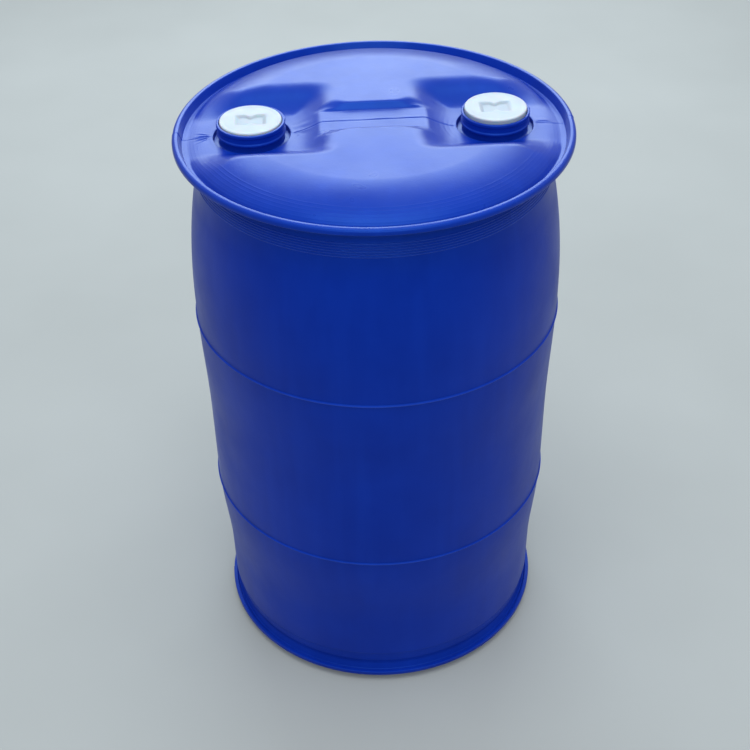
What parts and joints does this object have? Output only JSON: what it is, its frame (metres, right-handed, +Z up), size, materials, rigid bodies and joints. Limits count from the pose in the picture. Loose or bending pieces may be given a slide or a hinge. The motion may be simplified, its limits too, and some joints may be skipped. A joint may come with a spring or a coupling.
{
  "type": "plastic chemical drum",
  "caption": "Closed-head plastic drum with rolled top and bottom rings, a recessed domed head and two threaded necks closed by screw plugs.",
  "frame": {"origin": "centre of the base, on the floor the drum stands on", "axes": "+Z up along the drum's axis; the two necks stand on the X axis, filling neck at -X and vent neck at +X, in the mould's parting plane"},
  "size_m": [0.581, 0.581, 0.935],
  "materials": {
    "drum_hdpe": "satin",
    "plug_plastic": "satin",
    "gasket_rubber": "matte"
  },
  "bodies": {
    "drum": {"drum_body": "drum_hdpe"},
    "filling_seal": {"filling_plug_gasket": "gasket_rubber"},
    "filling_closure": {"filling_plug": "plug_plastic"},
    "vent_seal": {"vent_plug_gasket": "gasket_rubber"},
    "vent_closure": {"vent_plug": "plug_plastic"}
  },
  "joints": [
    {"name": "filling_lift", "type": "slide", "parent": "drum", "child": "filling_seal", "axis": [0, 0, 1], "range_m": [0, 0.0211]},
    {"name": "filling_turn", "type": "hinge", "parent": "filling_seal", "child": "filling_closure", "pos_m": [-0.176, 0, 0.9195], "axis": [0, 0, 1], "range_deg": [0, 1260]},
    {"name": "vent_lift", "type": "slide", "parent": "drum", "child": "vent_seal", "axis": [0, 0, 1], "range_m": [0, 0.0211]},
    {"name": "vent_turn", "type": "hinge", "parent": "vent_seal", "child": "vent_closure", "pos_m": [0.176, 0, 0.9195], "axis": [0, 0, 1], "range_deg": [0, 1260]}
  ],
  "couplings": [
    {"joint": "filling_lift", "follows": "filling_turn", "m_per_rad": 0.00095493},
    {"joint": "vent_lift", "follows": "vent_turn", "m_per_rad": 0.00095493}
  ]
}
